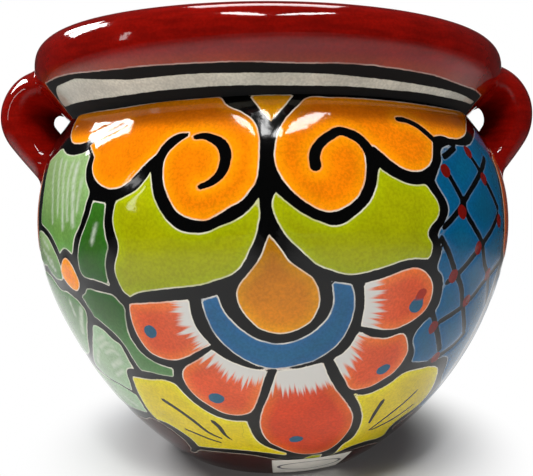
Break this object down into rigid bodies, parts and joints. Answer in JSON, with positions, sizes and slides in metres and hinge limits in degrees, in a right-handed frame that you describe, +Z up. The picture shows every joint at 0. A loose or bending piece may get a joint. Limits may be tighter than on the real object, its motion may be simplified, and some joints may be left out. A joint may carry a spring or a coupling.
{
  "type": "planter",
  "caption": "Round-bellied glazed ceramic planter with a thick rolled rim, ear handles at its sides and a drain hole in its floor.",
  "frame": {"origin": "on the ground, under the middle of the foot", "axes": "+Z up, +X through the right handle, painted front towards -Y"},
  "size_m": [0.267, 0.23, 0.1927],
  "materials": {
    "painted_glaze": "glossy hand-painted glaze fields with black outlines",
    "red_glaze": "deep glossy red glaze",
    "terracotta": "bare fired clay",
    "label_paper": "plain coated paper"
  },
  "bodies": {
    "root": {"pot_wall": "painted_glaze", "floor_slab": "terracotta", "rim": "red_glaze", "left_handle": "red_glaze", "right_handle": "red_glaze", "label": "label_paper"}
  },
  "joints": []
}
